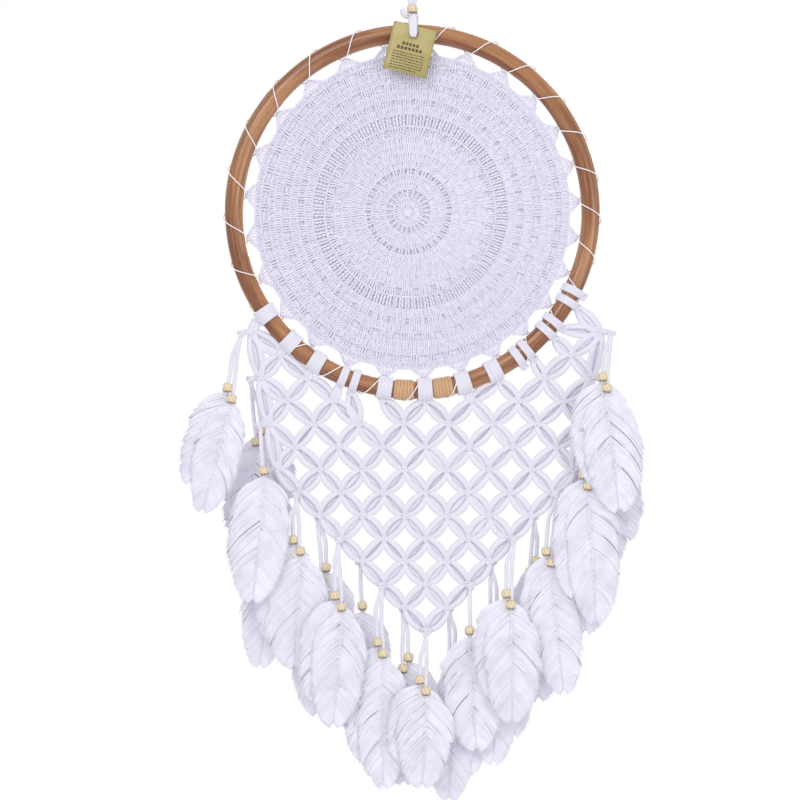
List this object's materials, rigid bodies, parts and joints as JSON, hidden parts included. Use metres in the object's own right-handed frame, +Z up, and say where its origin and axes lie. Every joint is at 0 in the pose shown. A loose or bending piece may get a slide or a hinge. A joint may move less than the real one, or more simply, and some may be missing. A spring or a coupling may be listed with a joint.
{
  "type": "dream catcher",
  "caption": "Cane hoop dream catcher with a crochet web, a macrame net below it, beaded strings with feathers, a hanging loop and a card tag.",
  "frame": {"origin": "the point where the hanging loop bears on its nail, in the hoop's middle plane", "axes": "+Z up along the hanging direction, +Y away from the viewer, normal to the hoop, +X to the viewer's right"},
  "size_m": [0.3735, 0.0365, 0.6979],
  "materials": {
    "varnished_cane": "gloss",
    "peeled_cane": "satin",
    "cotton": "matte",
    "jersey_yarn": "matte",
    "feather": "matte",
    "pale_wood": "satin",
    "gold_card": "matte"
  },
  "bodies": {
    "hanger": {"hanging_cord": "jersey_yarn", "hanger_bead": "pale_wood"},
    "tag": {"tag": "gold_card", "tag_loop": "cotton"},
    "hoop": {"hoop": "varnished_cane", "cane_binding_left": "peeled_cane", "cane_binding_right": "peeled_cane", "crochet_web": "cotton", "web_lacing": "cotton", "macrame_net": "jersey_yarn"},
    "pendant_01": {"beaded_string_01": "jersey_yarn", "feather_01": "feather"},
    "pendant_02": {"beaded_string_02": "jersey_yarn", "feather_02": "feather"},
    "pendant_03": {"beaded_string_03": "jersey_yarn", "feather_03": "feather"},
    "pendant_04": {"beaded_string_04": "jersey_yarn", "feather_04": "feather"},
    "pendant_05": {"beaded_string_05": "jersey_yarn", "feather_05": "feather"},
    "pendant_06": {"beaded_string_06": "jersey_yarn", "feather_06": "feather"},
    "pendant_07": {"beaded_string_07": "jersey_yarn", "feather_07": "feather"},
    "pendant_08": {"beaded_string_08": "jersey_yarn", "feather_08": "feather"},
    "pendant_09": {"beaded_string_09": "jersey_yarn", "feather_09": "feather"},
    "pendant_10": {"beaded_string_10": "jersey_yarn", "feather_10": "feather"},
    "pendant_11": {"beaded_string_11": "jersey_yarn", "feather_11": "feather"},
    "pendant_12": {"beaded_string_12": "jersey_yarn", "feather_12": "feather"},
    "pendant_13": {"beaded_string_13": "jersey_yarn", "feather_13": "feather"},
    "pendant_14": {"beaded_string_14": "jersey_yarn", "feather_14": "feather"},
    "pendant_15": {"beaded_string_15": "jersey_yarn", "feather_15": "feather"},
    "pendant_16": {"beaded_string_16": "jersey_yarn", "feather_16": "feather"},
    "pendant_17": {"beaded_string_17": "jersey_yarn", "feather_17": "feather"},
    "pendant_18": {"beaded_string_18": "jersey_yarn", "feather_18": "feather"},
    "pendant_19": {"beaded_string_19": "jersey_yarn", "feather_19": "feather"},
    "pendant_20": {"beaded_string_20": "jersey_yarn", "feather_20": "feather"},
    "pendant_21": {"beaded_string_21": "jersey_yarn", "feather_21": "feather"}
  },
  "joints": [
    {"name": "hoop_rock", "type": "hinge", "parent": "hanger", "child": "hoop", "pos_m": [0, 0, -0.05], "axis": [1, 0, 0], "range_deg": [-10, 10]},
    {"name": "tag_lift", "type": "hinge", "parent": "hanger", "child": "tag", "pos_m": [0, 0, -0.0344], "axis": [-1, 0, 0], "range_deg": [0, 35]},
    {"name": "pendant_01_swing", "type": "hinge", "parent": "hoop", "child": "pendant_01", "pos_m": [-0.14508, 0, -0.3058], "axis": [0, 1, 0], "range_deg": [0, 8]},
    {"name": "pendant_02_swing", "type": "hinge", "parent": "hoop", "child": "pendant_02", "pos_m": [-0.13752, 0, -0.3448], "axis": [0, 1, 0], "range_deg": [-8, 8]},
    {"name": "pendant_03_swing", "type": "hinge", "parent": "hoop", "child": "pendant_03", "pos_m": [-0.12996, 0, -0.3838], "axis": [0, 1, 0], "range_deg": [-8, 8]},
    {"name": "pendant_04_swing", "type": "hinge", "parent": "hoop", "child": "pendant_04", "pos_m": [-0.1224, 0, -0.4228], "axis": [0, 1, 0], "range_deg": [-8, 8]},
    {"name": "pendant_05_swing", "type": "hinge", "parent": "hoop", "child": "pendant_05", "pos_m": [-0.0984, 0, -0.4423], "axis": [0, 1, 0], "range_deg": [-8, 8]},
    {"name": "pendant_06_swing", "type": "hinge", "parent": "hoop", "child": "pendant_06", "pos_m": [-0.0804, 0, -0.4618], "axis": [0, 1, 0], "range_deg": [-8, 8]},
    {"name": "pendant_07_swing", "type": "hinge", "parent": "hoop", "child": "pendant_07", "pos_m": [-0.0624, 0, -0.4813], "axis": [0, 1, 0], "range_deg": [-8, 8]},
    {"name": "pendant_08_swing", "type": "hinge", "parent": "hoop", "child": "pendant_08", "pos_m": [-0.0444, 0, -0.5008], "axis": [0, 1, 0], "range_deg": [-8, 8]},
    {"name": "pendant_09_swing", "type": "hinge", "parent": "hoop", "child": "pendant_09", "pos_m": [-0.0264, 0, -0.5203], "axis": [0, 1, 0], "range_deg": [-8, 8]},
    {"name": "pendant_10_swing", "type": "hinge", "parent": "hoop", "child": "pendant_10", "pos_m": [-0.0084, 0, -0.5398], "axis": [0, 1, 0], "range_deg": [-8, 8]},
    {"name": "pendant_11_swing", "type": "hinge", "parent": "hoop", "child": "pendant_11", "pos_m": [0.0116, 0, -0.5593], "axis": [0, 1, 0], "range_deg": [-8, 8]},
    {"name": "pendant_12_swing", "type": "hinge", "parent": "hoop", "child": "pendant_12", "pos_m": [0.0316, 0, -0.5398], "axis": [0, 1, 0], "range_deg": [-8, 8]},
    {"name": "pendant_13_swing", "type": "hinge", "parent": "hoop", "child": "pendant_13", "pos_m": [0.0496, 0, -0.5203], "axis": [0, 1, 0], "range_deg": [-8, 8]},
    {"name": "pendant_14_swing", "type": "hinge", "parent": "hoop", "child": "pendant_14", "pos_m": [0.0676, 0, -0.5008], "axis": [0, 1, 0], "range_deg": [-8, 8]},
    {"name": "pendant_15_swing", "type": "hinge", "parent": "hoop", "child": "pendant_15", "pos_m": [0.0856, 0, -0.4813], "axis": [0, 1, 0], "range_deg": [-8, 8]},
    {"name": "pendant_16_swing", "type": "hinge", "parent": "hoop", "child": "pendant_16", "pos_m": [0.1036, 0, -0.4618], "axis": [0, 1, 0], "range_deg": [-8, 8]},
    {"name": "pendant_17_swing", "type": "hinge", "parent": "hoop", "child": "pendant_17", "pos_m": [0.1216, 0, -0.4423], "axis": [0, 1, 0], "range_deg": [-8, 8]},
    {"name": "pendant_18_swing", "type": "hinge", "parent": "hoop", "child": "pendant_18", "pos_m": [0.1456, 0, -0.4228], "axis": [0, 1, 0], "range_deg": [-8, 8]},
    {"name": "pendant_19_swing", "type": "hinge", "parent": "hoop", "child": "pendant_19", "pos_m": [0.15316, 0, -0.3838], "axis": [0, 1, 0], "range_deg": [-8, 8]},
    {"name": "pendant_20_swing", "type": "hinge", "parent": "hoop", "child": "pendant_20", "pos_m": [0.16072, 0, -0.3448], "axis": [0, 1, 0], "range_deg": [-8, 8]},
    {"name": "pendant_21_swing", "type": "hinge", "parent": "hoop", "child": "pendant_21", "pos_m": [0.16828, 0, -0.3058], "axis": [0, 1, 0], "range_deg": [-8, 8]}
  ]
}
